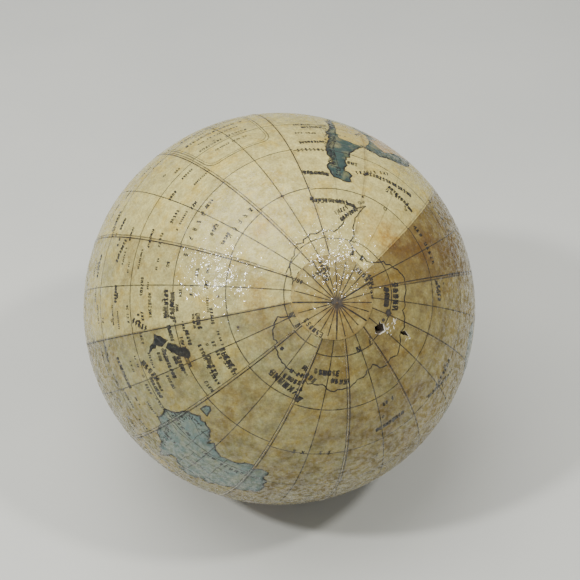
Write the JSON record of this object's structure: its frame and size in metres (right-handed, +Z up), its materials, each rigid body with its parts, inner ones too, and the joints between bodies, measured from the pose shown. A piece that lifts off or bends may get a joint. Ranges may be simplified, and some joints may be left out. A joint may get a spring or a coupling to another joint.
{
  "type": "terrestrial globe ball",
  "caption": "Small old globe ball of varnished printed paper gores over a hollow plastered papier-mache sphere on a wooden spindle, loose from its stand.",
  "frame": {"origin": "centre of the ball", "axes": "+Z up as the ball lies on its lowest point; the polar axis lies in the YZ plane at 45 degrees, with the south pole up and towards -Y and the north pole down and towards +Y"},
  "size_m": [0.102, 0.102, 0.102],
  "materials": {
    "printed_paper": "gloss",
    "plaster": "matte",
    "linen": "matte",
    "pasteboard": "matte",
    "papier_mache": "matte",
    "wood": "matte",
    "tack_steel": "satin"
  },
  "bodies": {
    "root": {"gore_01": "printed_paper", "gore_02": "printed_paper", "gore_03": "printed_paper", "gore_04": "printed_paper", "gore_05": "printed_paper", "gore_06": "printed_paper", "gore_07": "printed_paper", "gore_08": "printed_paper", "gore_09": "printed_paper", "gore_10": "printed_paper", "gore_11": "printed_paper", "gore_12": "printed_paper", "plaster_coat": "plaster", "seam_tape": "linen", "equator_hoop": "pasteboard", "spindle": "wood", "north_shell": "papier_mache", "north_pole_block": "wood", "north_tacks": "tack_steel", "south_shell": "papier_mache", "south_pole_block": "wood", "south_tacks": "tack_steel"}
  },
  "joints": []
}
